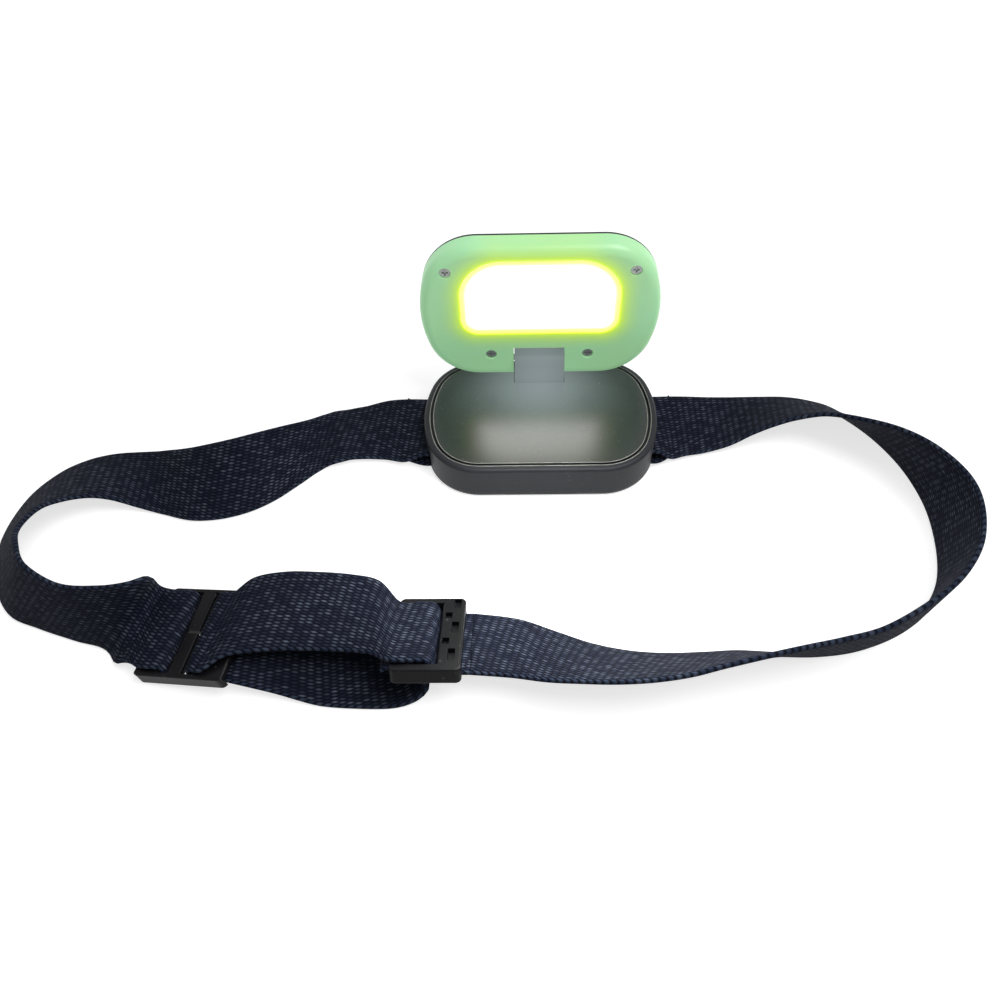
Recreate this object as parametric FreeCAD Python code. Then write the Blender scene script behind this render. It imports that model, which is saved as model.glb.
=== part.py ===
import FreeCAD, Part
import math
import os

# Headlamp with a lamp case on a webbing head strap and a light panel that folds open on a hinge.
# Millimetres. The case lies on its back: +X right, +Y away from the viewer, +Z up.
# The origin is the centre of the case's rear face, which rests on the table.

# Case
CASE_LENGTH = 74.0
CASE_WIDTH = 49.2
CORNER_RADIUS = 17.0
SIDE_RADIUS = 42.0
SHELL_WALL = 1.6
FACE_EDGE_RADIUS = 1.2
REAR_EDGE_RADIUS = 2.4
COVER_THICKNESS = 1.0
COVER_SEAM = 0.1
CELL_GAP = 0.15
CEILING = 0.6
PLATE_THICKNESS = 0.6
PLATE_INSET = 2.9
RIM_INSET = 2.1
GROOVE_DEPTH = 0.35
PRY_LENGTH = 22.0
PRY_DEPTH = 1.0
PRY_HEIGHT = 0.6
COVER_LIP = 1.2
COVER_LIP_HEIGHT = 2.0
FIT_GAP = 0.15

# Cells and their contacts
CELL_DIAMETER = 10.5
CELL_LENGTH = 43.7
CELL_NUB_DIAMETER = 3.8
CELL_NUB_LENGTH = 0.8
CELL_COUNT = 3
CELL_SPACING = 10.8
CONTACT_THICKNESS = 0.4
CONTACT_HEIGHT = 8.0
SPRING_LENGTH = 3.2
SPRING_WIRE = 0.6
SPRING_RADIUS = 2.8
SPRING_TIP_RADIUS = 1.6
PARTITION = 1.2

# Light panel
PANEL_THICKNESS = 8.8
PANEL_GAP = 0.8
PANEL_REST_ANGLE = 90.0
PANEL_EDGE_RADIUS = 3.2
PANEL_REAR_RADIUS = 1.6
BEZEL_FACE = 1.5
BEZEL_WALL = 1.8
REAR_THICKNESS = 1.9
NOTCH_HALF_WIDTH = 8.3
NOTCH_DEPTH = 12.0
NOTCH_WALL = 1.2
WINDOW_HALF_WIDTH = 24.5
WINDOW_BOTTOM = 17.8
WINDOW_HEIGHT = 27.2
WINDOW_TOP_RADIUS = 13.0
WINDOW_BOTTOM_RADIUS = 5.7
LENS_RECESS = 0.3
LENS_FLANGE = 1.0
LENS_FLANGE_THICKNESS = 0.8
LENS_CLEARANCE = 0.1

# Boards behind the lens
PHOSPHOR_MARGIN = 2.5
PHOSPHOR_THICKNESS = 0.5
PHOSPHOR_GAP = 0.6
LIGHT_BOARD_THICKNESS = 1.0
SPREADER_THICKNESS = 0.5
DRIVER_BOARD_THICKNESS = 0.8
DRIVER_BOARD_LENGTH = 30.0
DRIVER_BOARD_WIDTH = 20.0
BOARD_CLEARANCE = 0.3

# Button on the back of the panel
BUTTON_RADIUS = 5.0
BUTTON_PROUD = 0.6
BUTTON_FLANGE = 1.0
BUTTON_FLANGE_THICKNESS = 0.5
BUTTON_CLEARANCE = 0.15
BUTTON_TRAVEL = 0.4
BUTTON_POSITION = 28.0
SWITCH_SIZE = 4.5
SWITCH_HEIGHT = 0.7
PLUNGER_RADIUS = 1.0
PLUNGER_HEIGHT = 0.3

# Panel screws, as distances from the panel's centre line and hinge edge
SCREW_PLACES = [(-28.1, 41.0), (28.1, 41.0), (-15.4, 9.4), (15.4, 9.4)]
SCREW_HEAD_RADIUS = 1.7
SCREW_HEAD_HEIGHT = 0.9
SCREW_HEAD_RECESS = 0.5
SCREW_SHANK_RADIUS = 0.9
SCREW_HOLE_CLEARANCE = 0.15
SCREW_BOSS_RADIUS = 2.7
SCREW_END_GAP = 0.5
CROSS_LENGTH = 1.9
CROSS_WIDTH = 0.5
CROSS_DEPTH = 0.5

# Hinge
PIN_RADIUS = 1.0
PIN_LENGTH = 26.0
PIN_RUNNING = 0.05
KNUCKLE_SIDE_GAP = 0.3
SWING_CLEARANCE = 0.3
KNUCKLE_REACH = 6.4
KNUCKLE_FRONT_RADIUS = 3.4
HINGE_BOSS_LENGTH = 5.0
HINGE_BOSS_RADIUS = 2.1

# Webbing and what holds it
WEB_WIDTH = 25.0
WEB_THICKNESS = 1.6
WEB_GAP = 0.3
BEND_STEP = 30.0
STRAP_CENTRE_Y = -0.5
STRAP_TAIL = 10.0
STRAP_SLOT_CLEARANCE = 0.7
STRAP_PIN_RADIUS = 1.25
STRAP_PIN_X = 30.0
STRAP_PIN_Z = 5.0
STRAP_PIN_SEAT = 2.0

# Buckles
BUCKLE_THICKNESS = 4.5
BUCKLE_SIDE_GAP = 0.3
BUCKLE_EDGE_RADIUS = 0.5
BAR_EDGE_RADIUS = 0.8
BUCKLE_CORNER_RADIUS = 1.6
CONNECTOR_ARM = 1.2
CONNECTOR_ORIGIN = (-95.0, -76.3, 7.3)
CONNECTOR_TURN = -10.0
CONNECTOR_TILT = -11.0
CONNECTOR_BAR_THICKNESS = 2.4
CONNECTOR_BARS = [(-13.5, -6.0), (-3.4, 1.0), (3.8, 13.5)]
CONNECTOR_SPLIT = 1.0
ADJUSTER_ARM = 2.4
ADJUSTER_ORIGIN = (-25.0, -78.7, 10.45)
ADJUSTER_TILT = -21.0
ADJUSTER_RIGHT_BAR = (-3.2, 3.2)
ADJUSTER_MID_BAR = (-9.6, -5.8)
ADJUSTER_LEFT_BAR = (-15.2, -12.2)
ADJUSTER_RIGHT_BAR_THICKNESS = 2.6
ADJUSTER_MID_BAR_TOP = 0.6
ADJUSTER_LEFT_BAR_TOP = 2.6
ADJUSTER_LEFT_BAR_THICKNESS = 1.8
POCKET_DEPTH = 1.2
POCKET_WIDTH = 1.9
POCKETS = [(1.0, 12.6, 4.0), (-1.2, 7.3, 2.4), (0.8, 2.2, 4.4), (-1.4, -3.6, 2.6), (0.4, -9.0, 4.6)]

# Heights and places worked out from the sizes above
CELL_Z = COVER_THICKNESS + CELL_GAP + CELL_DIAMETER / 2
CEILING_Z = CELL_Z + CELL_DIAMETER / 2 + CELL_GAP
LEDGE_Z = CEILING_Z + CEILING
FACE_Z = LEDGE_Z + PLATE_THICKNESS
SHELL_Z = COVER_THICKNESS + COVER_SEAM
HINGE_SETBACK = PANEL_THICKNESS / 2
HINGE_Y = CASE_WIDTH / 2 - HINGE_SETBACK
HINGE_Z = FACE_Z + PANEL_GAP + PANEL_THICKNESS / 2
PANEL_Z = FACE_Z + PANEL_GAP
REAR_Z = PANEL_Z + PANEL_THICKNESS - REAR_THICKNESS
LENS_Z = PANEL_Z + BEZEL_FACE
PHOSPHOR_Z = LENS_Z + LENS_FLANGE_THICKNESS + PHOSPHOR_GAP
LIGHT_BOARD_Z = PHOSPHOR_Z + PHOSPHOR_THICKNESS
SPREADER_Z = LIGHT_BOARD_Z + LIGHT_BOARD_THICKNESS
DRIVER_Z = REAR_Z - BOARD_CLEARANCE - DRIVER_BOARD_THICKNESS
CONTACT_X = (CELL_LENGTH + CELL_NUB_LENGTH + SPRING_LENGTH) / 2
CELL_ROW = (CELL_COUNT - 1) * CELL_SPACING + CELL_DIAMETER
BAY_HALF_WIDTH = CELL_ROW / 2 + 2 * FIT_GAP
BAY_HALF_LENGTH = CONTACT_X + CONTACT_THICKNESS + FIT_GAP
WEB_REACH = WEB_GAP + WEB_THICKNESS / 2
WRAP_RADIUS = STRAP_PIN_RADIUS + WEB_REACH
STRAP_SLOT_WIDTH = WEB_WIDTH + 2 * STRAP_SLOT_CLEARANCE
BUCKLE_INNER = WEB_WIDTH / 2 + BUCKLE_SIDE_GAP
BIG = 200.0

X_AXIS = FreeCAD.Vector(1, 0, 0)
Y_AXIS = FreeCAD.Vector(0, 1, 0)
Z_AXIS = FreeCAD.Vector(0, 0, 1)


def vec(x, y, z=0.0):
    return FreeCAD.Vector(x, y, z)


def box(x0, x1, y0, y1, z0, z1):
    """A box between two corners."""
    return Part.makeBox(x1 - x0, y1 - y0, z1 - z0, vec(x0, y0, z0))


def disc(radius, height, x, y, z):
    """A round bar along Z that stands at a point."""
    return Part.makeCylinder(radius, height, vec(x, y, z), Z_AXIS)


def rod_x(radius, x0, x1, y, z):
    """A round bar along X."""
    return Part.makeCylinder(radius, x1 - x0, vec(x0, y, z), X_AXIS)


def rod_y(radius, y0, y1, x, z):
    """A round bar along Y."""
    return Part.makeCylinder(radius, y1 - y0, vec(x, y0, z), Y_AXIS)


def mirror_x(shape):
    return shape.mirror(vec(0, 0, 0), X_AXIS)


def tidy(shape):
    """The shape with split faces joined, as a plain solid when it is only one."""
    shape = shape.removeSplitter()
    if len(shape.Solids) == 1:
        return shape.Solids[0]
    return shape


def soft_outline(inset=0.0):
    """Face of the case's outline: straight long sides, round corners and slightly bulged ends."""
    half_length = CASE_LENGTH / 2 - inset
    half_width = CASE_WIDTH / 2 - inset
    corner = CORNER_RADIUS - inset
    side = SIDE_RADIUS - inset
    side_x = half_length - side
    corner_y = half_width - corner
    corner_x = side_x + math.sqrt((side - corner) ** 2 - corner_y ** 2)
    lean = math.atan2(corner_y, corner_x - side_x)
    middle = (lean + math.pi / 2) / 2

    def corner_point(angle, sx, sy):
        return vec(sx * (corner_x + corner * math.cos(angle)), sy * (corner_y + corner * math.sin(angle)))

    edges = []
    for sx, sy in ((1, 1), (-1, 1), (-1, -1), (1, -1)):
        points = [corner_point(angle, sx, sy) for angle in (lean, middle, math.pi / 2)]
        edges.append(Part.Arc(points[0], points[1], points[2]).toShape())
    for sy in (1, -1):
        start = corner_point(math.pi / 2, 1, sy)
        end = corner_point(math.pi / 2, -1, sy)
        edges.append(Part.LineSegment(start, end).toShape())
    for sx in (1, -1):
        start = corner_point(lean, sx, 1)
        end = corner_point(lean, sx, -1)
        edges.append(Part.Arc(start, vec(sx * half_length, 0), end).toShape())
    return Part.Face(Part.Wire(Part.__sortEdges__(edges)))


def prism(face, z0, z1):
    """A flat face of the XY plane, extruded between two heights."""
    lifted = face.copy()
    lifted.translate(vec(0, 0, z0))
    return lifted.extrude(vec(0, 0, z1 - z0))


def edges_at(shape, z):
    """The edges of a solid that lie flat at one height."""
    return [edge for edge in shape.Edges
            if abs(edge.BoundBox.ZMin - z) < 1e-5 and abs(edge.BoundBox.ZMax - z) < 1e-5]


def case_block():
    """The whole outside of the case, with its soft front and rear edges."""
    block = prism(soft_outline(), 0, FACE_Z)
    block = block.makeFillet(FACE_EDGE_RADIUS, edges_at(block, FACE_Z))
    return block.makeFillet(REAR_EDGE_RADIUS, edges_at(block, 0))


def panel_y(distance):
    """Y of a point of the closed panel, from its distance to the hinge edge."""
    return CASE_WIDTH / 2 - distance


def opened(shape):
    """Turn a piece of the closed panel to its resting, opened place."""
    turned = shape.copy()
    turned.rotate(vec(0, HINGE_Y, HINGE_Z), X_AXIS, -PANEL_REST_ANGLE)
    return turned


def knuckle():
    """The hinge block on the case, rounded in front and about the pin."""
    half = NOTCH_HALF_WIDTH - KNUCKLE_SIDE_GAP
    back_radius = PANEL_THICKNESS / 2
    top = HINGE_Z + back_radius
    front = HINGE_Y - KNUCKLE_REACH
    back = HINGE_Y + back_radius
    foot = LEDGE_Z
    turn = math.sqrt(0.5)
    round_centre = vec(0, front + KNUCKLE_FRONT_RADIUS, top - KNUCKLE_FRONT_RADIUS)
    front_middle = round_centre + vec(0, -turn, turn) * KNUCKLE_FRONT_RADIUS
    back_middle = vec(0, HINGE_Y + turn * back_radius, HINGE_Z + turn * back_radius)
    points = [vec(0, front, foot), vec(0, front, round_centre.z), vec(0, round_centre.y, top),
              vec(0, HINGE_Y, top), vec(0, back, HINGE_Z), vec(0, back, foot)]
    edges = [
        Part.LineSegment(points[0], points[1]).toShape(),
        Part.Arc(points[1], front_middle, points[2]).toShape(),
        Part.LineSegment(points[2], points[3]).toShape(),
        Part.Arc(points[3], back_middle, points[4]).toShape(),
        Part.LineSegment(points[4], points[5]).toShape(),
        Part.LineSegment(points[5], points[0]).toShape(),
    ]
    profile = Part.Face(Part.Wire(edges))
    profile.translate(vec(-half, 0, 0))
    return profile.extrude(vec(2 * half, 0, 0))


def strap_slot_cut():
    """The opening in the right end wall where the webbing comes out."""
    reach = WRAP_RADIUS + WEB_REACH
    low = STRAP_CENTRE_Y - STRAP_SLOT_WIDTH / 2
    high = STRAP_CENTRE_Y + STRAP_SLOT_WIDTH / 2
    return box(STRAP_PIN_X, CASE_LENGTH, low, high, STRAP_PIN_Z - reach, STRAP_PIN_Z + reach)


def pry_notch(z0, z1):
    """The thin notch in the near wall, where the rear cover is lifted."""
    wall = -CASE_WIDTH / 2
    return box(-PRY_LENGTH / 2, PRY_LENGTH / 2, wall - 1, wall + PRY_DEPTH, z0, z1)


def build_base_shell():
    shell = case_block().cut(box(-BIG, BIG, -BIG, BIG, -1, SHELL_Z))
    inside = prism(soft_outline(SHELL_WALL), 0, CEILING_Z)
    for side in (-1, 1):
        inner = BAY_HALF_LENGTH if side > 0 else -BAY_HALF_LENGTH - PARTITION
        inside = inside.cut(box(inner, inner + PARTITION, -BIG, BIG, SHELL_Z + COVER_LIP_HEIGHT, CEILING_Z))
    seat_half = STRAP_SLOT_WIDTH / 2
    for sy in (-1, 1):
        seat_y = STRAP_CENTRE_Y + sy * seat_half
        low, high = sorted((seat_y, seat_y + sy * STRAP_PIN_SEAT))
        for side in (-1, 1):
            x = side * STRAP_PIN_X
            seat = box(x - 2 * STRAP_PIN_RADIUS, x + 2 * STRAP_PIN_RADIUS, low, high,
                       STRAP_PIN_Z - 2 * STRAP_PIN_RADIUS, CEILING_Z)
            inside = inside.cut(seat)
    shell = shell.cut(inside)
    shell = shell.cut(prism(soft_outline(RIM_INSET), LEDGE_Z, FACE_Z + 1))
    shell = shell.cut(prism(soft_outline(RIM_INSET), LEDGE_Z - GROOVE_DEPTH, LEDGE_Z)
                      .cut(prism(soft_outline(PLATE_INSET), 0, FACE_Z)))
    shell = shell.fuse(knuckle())
    pin_half = STRAP_SLOT_WIDTH / 2 + STRAP_PIN_SEAT
    pin_bore = rod_y(STRAP_PIN_RADIUS, STRAP_CENTRE_Y - pin_half, STRAP_CENTRE_Y + pin_half,
                     STRAP_PIN_X, STRAP_PIN_Z)
    for cut in (strap_slot_cut(), pin_bore):
        shell = shell.cut(cut).cut(mirror_x(cut))
    shell = shell.cut(rod_x(PIN_RADIUS, -CASE_LENGTH, CASE_LENGTH, HINGE_Y, HINGE_Z))
    shell = shell.cut(pry_notch(SHELL_Z - 1, SHELL_Z + PRY_HEIGHT))
    return tidy(shell)


def build_face_plate():
    plate = prism(soft_outline(PLATE_INSET), LEDGE_Z, FACE_Z)
    half = NOTCH_HALF_WIDTH
    front = HINGE_Y - KNUCKLE_REACH - KNUCKLE_SIDE_GAP
    return tidy(plate.cut(box(-half, half, front, CASE_WIDTH, 0, BIG)))


def build_rear_cover():
    cover = case_block().common(box(-BIG, BIG, -BIG, BIG, 0, COVER_THICKNESS))
    outer = SHELL_WALL + FIT_GAP
    lip = prism(soft_outline(outer), COVER_THICKNESS, COVER_THICKNESS + COVER_LIP_HEIGHT - FIT_GAP)
    lip = lip.cut(prism(soft_outline(outer + COVER_LIP), 0, BIG))
    far_part = box(-BAY_HALF_LENGTH, BAY_HALF_LENGTH, BAY_HALF_WIDTH + FIT_GAP, BIG, 0, BIG)
    near_part = box(-PRY_LENGTH, PRY_LENGTH, -BIG, -BAY_HALF_WIDTH - FIT_GAP, 0, BIG)
    return tidy(cover.fuse(lip.common(far_part)).fuse(lip.common(near_part)))


def cell_y(index):
    return (index - (CELL_COUNT - 1) / 2) * CELL_SPACING


def cell_side(index):
    """Cells lie head to tail, so their positive ends alternate."""
    return 1 if index % 2 == 0 else -1


def build_cell(index):
    side = cell_side(index)
    start = -CONTACT_X + SPRING_LENGTH
    body = rod_x(CELL_DIAMETER / 2, start, start + CELL_LENGTH, cell_y(index), CELL_Z)
    nub = rod_x(CELL_NUB_DIAMETER / 2, start + CELL_LENGTH, CONTACT_X, cell_y(index), CELL_Z)
    cell = tidy(body.fuse(nub))
    return cell if side > 0 else mirror_x(cell)


def build_springs():
    """One cone of spring wire behind each cell's flat end."""
    springs = []
    for index in range(CELL_COUNT):
        side = -cell_side(index)
        x = CONTACT_X * side
        outer = Part.makeCone(SPRING_RADIUS, SPRING_TIP_RADIUS, SPRING_LENGTH,
                              vec(x, cell_y(index), CELL_Z), vec(-side, 0, 0))
        inner = Part.makeCone(SPRING_RADIUS - SPRING_WIRE, SPRING_TIP_RADIUS - SPRING_WIRE, SPRING_LENGTH,
                              vec(x, cell_y(index), CELL_Z), vec(-side, 0, 0))
        springs.append(outer.cut(inner))
    return Part.makeCompound(springs)


def build_contacts(side):
    low = CONTACT_X if side > 0 else -CONTACT_X - CONTACT_THICKNESS
    half = CELL_ROW / 2 - FIT_GAP
    tall = CONTACT_HEIGHT / 2
    return box(low, low + CONTACT_THICKNESS, -half, half, CELL_Z - tall, CELL_Z + tall)


def build_strap_pins():
    half = STRAP_SLOT_WIDTH / 2 + STRAP_PIN_SEAT
    pin = rod_y(STRAP_PIN_RADIUS, STRAP_CENTRE_Y - half, STRAP_CENTRE_Y + half, STRAP_PIN_X, STRAP_PIN_Z)
    return Part.makeCompound([pin, mirror_x(pin)])


def panel_block():
    """The whole outside of the panel, with its hinge edge rounded to swing clear of the case."""
    block = prism(soft_outline(), PANEL_Z, PANEL_Z + PANEL_THICKNESS)
    block = block.makeFillet(PANEL_EDGE_RADIUS, edges_at(block, PANEL_Z))
    block = block.makeFillet(PANEL_REAR_RADIUS, edges_at(block, PANEL_Z + PANEL_THICKNESS))
    swing = rod_x(HINGE_Z - FACE_Z - SWING_CLEARANCE, -CASE_LENGTH, CASE_LENGTH, HINGE_Y, HINGE_Z)
    edge = box(-CASE_LENGTH, CASE_LENGTH, HINGE_Y, CASE_WIDTH, 0, BIG)
    return block.cut(edge.cut(swing))


def notch_block(extra=0.0):
    half = NOTCH_HALF_WIDTH + extra
    top = PANEL_Z + PANEL_THICKNESS + 1
    return box(-half, half, panel_y(NOTCH_DEPTH + extra), CASE_WIDTH, PANEL_Z - 1, top)


def window_face(grow=0.0):
    """The lit window: small corners beside the hinge and large ones at the free edge."""
    near = panel_y(WINDOW_BOTTOM) + grow
    far = panel_y(WINDOW_BOTTOM + WINDOW_HEIGHT) - grow
    half = WINDOW_HALF_WIDTH + grow
    small = WINDOW_BOTTOM_RADIUS + grow
    large = WINDOW_TOP_RADIUS + grow
    turn = math.sqrt(0.5)
    edges = []
    for sx in (1, -1):
        small_centre = vec(sx * (half - small), near - small)
        large_centre = vec(sx * (half - large), far + large)
        a = vec(small_centre.x, near)
        b = vec(sx * half, small_centre.y)
        c = vec(sx * half, large_centre.y)
        d = vec(large_centre.x, far)
        edges.append(Part.Arc(a, small_centre + vec(sx * turn, turn) * small, b).toShape())
        edges.append(Part.LineSegment(b, c).toShape())
        edges.append(Part.Arc(c, large_centre + vec(sx * turn, -turn) * large, d).toShape())
    edges.append(Part.LineSegment(vec(small - half, near), vec(half - small, near)).toShape())
    edges.append(Part.LineSegment(vec(large - half, far), vec(half - large, far)).toShape())
    return Part.Face(Part.Wire(Part.__sortEdges__(edges)))


def panel_cavity(clearance=0.0):
    """The room inside the bezel, beside the hinge notch."""
    room = prism(soft_outline(BEZEL_WALL + clearance), PANEL_Z + BEZEL_FACE, PANEL_Z + PANEL_THICKNESS + 1)
    return room.cut(notch_block(NOTCH_WALL + clearance))


def hinge_boss(radius, x_gap=0.0):
    """The two bosses that turn on the hinge pin, one each side of the notch."""
    start = NOTCH_HALF_WIDTH + NOTCH_WALL + x_gap
    boss = rod_x(radius, start, start + HINGE_BOSS_LENGTH, HINGE_Y, HINGE_Z)
    web = box(start, start + HINGE_BOSS_LENGTH, HINGE_Y - radius, HINGE_Y + radius, HINGE_Z, REAR_Z)
    return boss.fuse(web)


def pin_bore():
    return rod_x(PIN_RADIUS + PIN_RUNNING, -CASE_LENGTH, CASE_LENGTH, HINGE_Y, HINGE_Z)


def build_bezel():
    bezel = panel_block().cut(box(-BIG, BIG, -BIG, BIG, REAR_Z, BIG))
    bezel = bezel.cut(panel_cavity()).cut(notch_block())
    bezel = bezel.cut(prism(window_face(), PANEL_Z - 1, PANEL_Z + BEZEL_FACE + 1))
    for x, distance in SCREW_PLACES:
        y = panel_y(distance)
        boss = disc(SCREW_BOSS_RADIUS, SPREADER_Z - LENS_Z, x, y, LENS_Z)
        hole = disc(SCREW_SHANK_RADIUS + SCREW_HOLE_CLEARANCE, PANEL_THICKNESS, x, y, PANEL_Z)
        depth = SCREW_HEAD_RECESS + SCREW_HEAD_HEIGHT
        seat = disc(SCREW_HEAD_RADIUS + SCREW_HOLE_CLEARANCE, depth, x, y, PANEL_Z)
        bezel = bezel.fuse(boss).cut(hole).cut(seat)
    return tidy(bezel.cut(pin_bore()))


def build_panel_rear():
    rear = panel_block().cut(box(-BIG, BIG, -BIG, BIG, -1, REAR_Z)).cut(notch_block())
    room = panel_cavity(FIT_GAP)
    bosses = hinge_boss(HINGE_BOSS_RADIUS, FIT_GAP)
    rear = rear.fuse(bosses).fuse(mirror_x(bosses))
    for x, distance in SCREW_PLACES:
        y = panel_y(distance)
        start = SPREADER_Z + FIT_GAP
        rear = rear.fuse(disc(SCREW_BOSS_RADIUS, REAR_Z - start, x, y, start).common(room))
        depth = REAR_Z + REAR_THICKNESS / 2 - start
        rear = rear.cut(disc(SCREW_SHANK_RADIUS, depth, x, y, start))
    y = panel_y(BUTTON_POSITION)
    rear = rear.cut(disc(BUTTON_RADIUS + BUTTON_CLEARANCE, BIG, 0, y, REAR_Z - 1))
    ledge = BUTTON_FLANGE_THICKNESS + BUTTON_CLEARANCE + BUTTON_TRAVEL / 2
    rear = rear.cut(disc(BUTTON_RADIUS + BUTTON_FLANGE + BUTTON_CLEARANCE, ledge + 1, 0, y, REAR_Z - 1))
    return tidy(rear.cut(pin_bore()))


def build_button():
    """The push button, held by its flange inside the rear of the panel."""
    y = panel_y(BUTTON_POSITION)
    top = PANEL_Z + PANEL_THICKNESS + BUTTON_PROUD
    flange_z = REAR_Z + BUTTON_TRAVEL / 2
    stem = disc(BUTTON_RADIUS, top - flange_z, 0, y, flange_z)
    stem = stem.makeFillet(BUTTON_PROUD, edges_at(stem, top))
    flange = disc(BUTTON_RADIUS + BUTTON_FLANGE, BUTTON_FLANGE_THICKNESS, 0, y, flange_z)
    switch_top = DRIVER_Z + DRIVER_BOARD_THICKNESS + SWITCH_HEIGHT + PLUNGER_HEIGHT
    hollow = disc(SWITCH_SIZE * 0.75, switch_top + BUTTON_TRAVEL + BUTTON_CLEARANCE - flange_z, 0, y, flange_z)
    return tidy(stem.fuse(flange).cut(hollow))


def build_switch():
    y = panel_y(BUTTON_POSITION)
    half = SWITCH_SIZE / 2
    z = DRIVER_Z + DRIVER_BOARD_THICKNESS
    body = box(-half, half, y - half, y + half, z, z + SWITCH_HEIGHT)
    return tidy(body.fuse(disc(PLUNGER_RADIUS, PLUNGER_HEIGHT, 0, y, z + SWITCH_HEIGHT)))


def build_driver_board():
    y = panel_y(BUTTON_POSITION)
    return box(-DRIVER_BOARD_LENGTH / 2, DRIVER_BOARD_LENGTH / 2, y - DRIVER_BOARD_WIDTH / 2,
               y + DRIVER_BOARD_WIDTH / 2, DRIVER_Z, DRIVER_Z + DRIVER_BOARD_THICKNESS)


def inner_sheet(z0, thickness, margin):
    """A board or plate that fills the bezel, clear of the screws and the hinge."""
    lower = panel_y(WINDOW_BOTTOM - LENS_FLANGE)
    sheet = panel_cavity(margin).common(box(-BIG, BIG, -BIG, lower, z0, z0 + thickness))
    for x, distance in SCREW_PLACES:
        sheet = sheet.cut(disc(SCREW_BOSS_RADIUS + margin, BIG, x, panel_y(distance), 0))
    return tidy(sheet)


def build_lens():
    body = prism(window_face(-LENS_CLEARANCE), PANEL_Z + LENS_RECESS, LENS_Z)
    flange = prism(window_face(LENS_FLANGE), LENS_Z, LENS_Z + LENS_FLANGE_THICKNESS)
    flange = flange.common(panel_cavity(LENS_CLEARANCE))
    for x, distance in SCREW_PLACES:
        flange = flange.cut(disc(SCREW_BOSS_RADIUS + LENS_CLEARANCE, BIG, x, panel_y(distance), 0))
    return tidy(body.fuse(flange))


def build_phosphor():
    return tidy(prism(window_face(-PHOSPHOR_MARGIN), PHOSPHOR_Z, LIGHT_BOARD_Z))


def build_panel_screws():
    screws = []
    for x, distance in SCREW_PLACES:
        y = panel_y(distance)
        head_z = PANEL_Z + SCREW_HEAD_RECESS
        head = disc(SCREW_HEAD_RADIUS, SCREW_HEAD_HEIGHT, x, y, head_z)
        shank_z = head_z + SCREW_HEAD_HEIGHT
        end = REAR_Z + REAR_THICKNESS / 2 - SCREW_END_GAP
        screw = head.fuse(disc(SCREW_SHANK_RADIUS, end - shank_z, x, y, shank_z))
        for along, across in ((CROSS_LENGTH, CROSS_WIDTH), (CROSS_WIDTH, CROSS_LENGTH)):
            screw = screw.cut(box(x - along / 2, x + along / 2, y - across / 2, y + across / 2,
                                  head_z - 1, head_z + CROSS_DEPTH))
        screws.append(tidy(screw))
    return Part.makeCompound(screws)


def build_hinge_pin():
    return rod_x(PIN_RADIUS, -PIN_LENGTH / 2, PIN_LENGTH / 2, HINGE_Y, HINGE_Z)


def buckle_frame(left, right, arm):
    """A flat buckle's outer frame, around its bars; its top face is at height 0."""
    half = BUCKLE_INNER + arm
    frame = box(left, right, -half, half, -BUCKLE_THICKNESS, 0)
    upright = [edge for edge in frame.Edges if abs(edge.BoundBox.ZLength - BUCKLE_THICKNESS) < 1e-5]
    frame = frame.makeFillet(BUCKLE_CORNER_RADIUS, upright)
    frame = frame.makeFillet(BUCKLE_EDGE_RADIUS, edges_at(frame, 0) + edges_at(frame, -BUCKLE_THICKNESS))
    return frame.cut(box(left - 1, right + 1, -BUCKLE_INNER, BUCKLE_INNER, -BUCKLE_THICKNESS - 1, 1))


def bar(left, right, z0, z1):
    """A buckle's bar between its arms, with rounded long edges."""
    half = BUCKLE_INNER + CONNECTOR_ARM / 2
    block = box(left, right, -half, half, z0, z1)
    long_edges = [edge for edge in block.Edges if edge.BoundBox.YLength > half]
    return block.makeFillet(BAR_EDGE_RADIUS, long_edges)


def connector_place():
    turn = FreeCAD.Rotation(Z_AXIS, CONNECTOR_TURN).multiply(FreeCAD.Rotation(Y_AXIS, CONNECTOR_TILT))
    return FreeCAD.Placement(vec(*CONNECTOR_ORIGIN), turn)


def adjuster_place():
    return FreeCAD.Placement(vec(*ADJUSTER_ORIGIN), FreeCAD.Rotation(X_AXIS, ADJUSTER_TILT))


def placed(shape, placement):
    moved = shape.copy()
    moved.Placement = placement
    return moved


def build_connector():
    frame = buckle_frame(CONNECTOR_BARS[0][0], CONNECTOR_BARS[-1][1], CONNECTOR_ARM)
    for left, right in CONNECTOR_BARS:
        frame = frame.fuse(bar(left, right, -CONNECTOR_BAR_THICKNESS, 0))
    left, right = CONNECTOR_BARS[1]
    frame = frame.cut(box(left - 1, right + 1, -CONNECTOR_SPLIT / 2, CONNECTOR_SPLIT / 2, -BUCKLE_THICKNESS, 1))
    return placed(tidy(frame), connector_place())


def build_adjuster():
    frame = buckle_frame(ADJUSTER_LEFT_BAR[0], ADJUSTER_RIGHT_BAR[1], ADJUSTER_ARM)
    frame = frame.fuse(bar(*ADJUSTER_RIGHT_BAR, -ADJUSTER_RIGHT_BAR_THICKNESS, 0))
    frame = frame.fuse(bar(*ADJUSTER_MID_BAR, -ADJUSTER_RIGHT_BAR_THICKNESS, -ADJUSTER_MID_BAR_TOP))
    low = -ADJUSTER_LEFT_BAR_TOP - ADJUSTER_LEFT_BAR_THICKNESS
    frame = frame.fuse(bar(*ADJUSTER_LEFT_BAR, low, -ADJUSTER_LEFT_BAR_TOP))
    for u, b, length in POCKETS:
        frame = frame.cut(box(u - POCKET_WIDTH / 2, u + POCKET_WIDTH / 2, b - length / 2, b + length / 2,
                              -POCKET_DEPTH, 1))
    return placed(tidy(frame), adjuster_place())


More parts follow.
